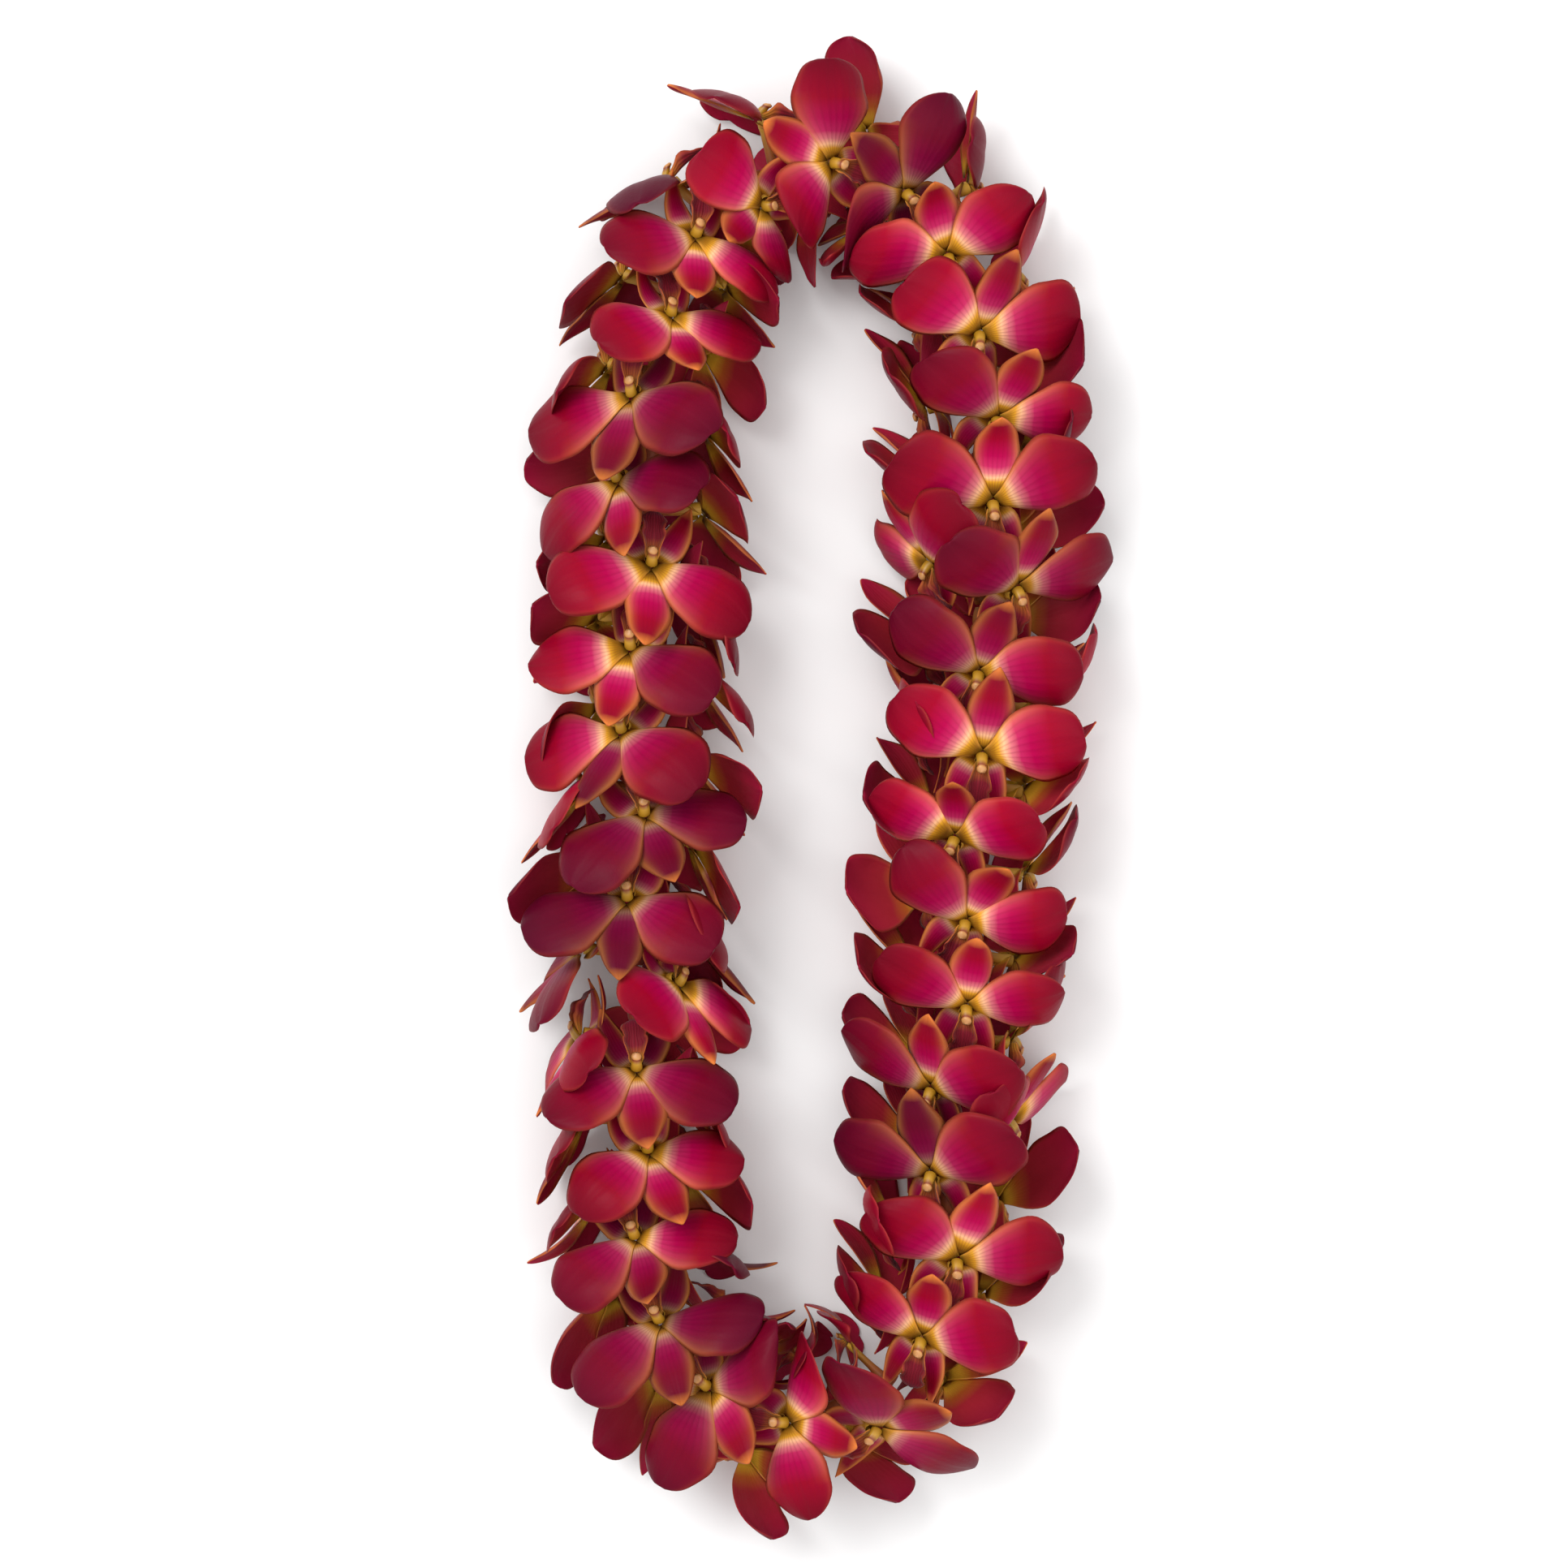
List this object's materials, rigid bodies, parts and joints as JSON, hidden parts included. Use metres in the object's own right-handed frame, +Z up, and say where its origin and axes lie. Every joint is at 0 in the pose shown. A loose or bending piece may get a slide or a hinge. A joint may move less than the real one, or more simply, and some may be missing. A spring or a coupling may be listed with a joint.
{
  "type": "fresh flower lei",
  "caption": "Garland of crimson orchid blooms threaded nose to tail on a closed loop of cotton string, laid flat as a long ring.",
  "frame": {"origin": "on the ground, under the middle of the lei's box", "axes": "+Z up from the ground it lies on, +Y along the loop's length towards its narrower end, +X across it to the right"},
  "size_m": [0.2116, 0.533, 0.0676],
  "materials": {
    "petals": "fresh crimson petals with a soft satin sheen, golden at their roots",
    "string": "matt cotton string"
  },
  "bodies": {
    "root": {"thread": "string", "blooms_01": "petals", "blooms_02": "petals", "blooms_03": "petals", "blooms_04": "petals", "blooms_05": "petals", "blooms_06": "petals", "blooms_07": "petals", "blooms_08": "petals", "blooms_09": "petals", "blooms_10": "petals", "blooms_11": "petals", "blooms_12": "petals", "blooms_13": "petals", "blooms_14": "petals", "blooms_15": "petals", "blooms_16": "petals", "blooms_17": "petals", "blooms_18": "petals", "blooms_19": "petals", "blooms_20": "petals", "blooms_21": "petals", "blooms_22": "petals", "blooms_23": "petals", "blooms_24": "petals", "blooms_25": "petals", "blooms_26": "petals", "blooms_27": "petals", "blooms_28": "petals", "blooms_29": "petals", "blooms_30": "petals", "blooms_31": "petals", "blooms_32": "petals", "blooms_33": "petals", "blooms_34": "petals", "blooms_35": "petals", "blooms_36": "petals", "blooms_37": "petals", "blooms_38": "petals", "blooms_39": "petals", "blooms_40": "petals", "blooms_41": "petals", "blooms_42": "petals", "blooms_43": "petals", "blooms_44": "petals", "blooms_45": "petals", "blooms_46": "petals", "blooms_47": "petals", "blooms_48": "petals", "blooms_49": "petals", "blooms_50": "petals", "blooms_51": "petals"}
  },
  "joints": []
}
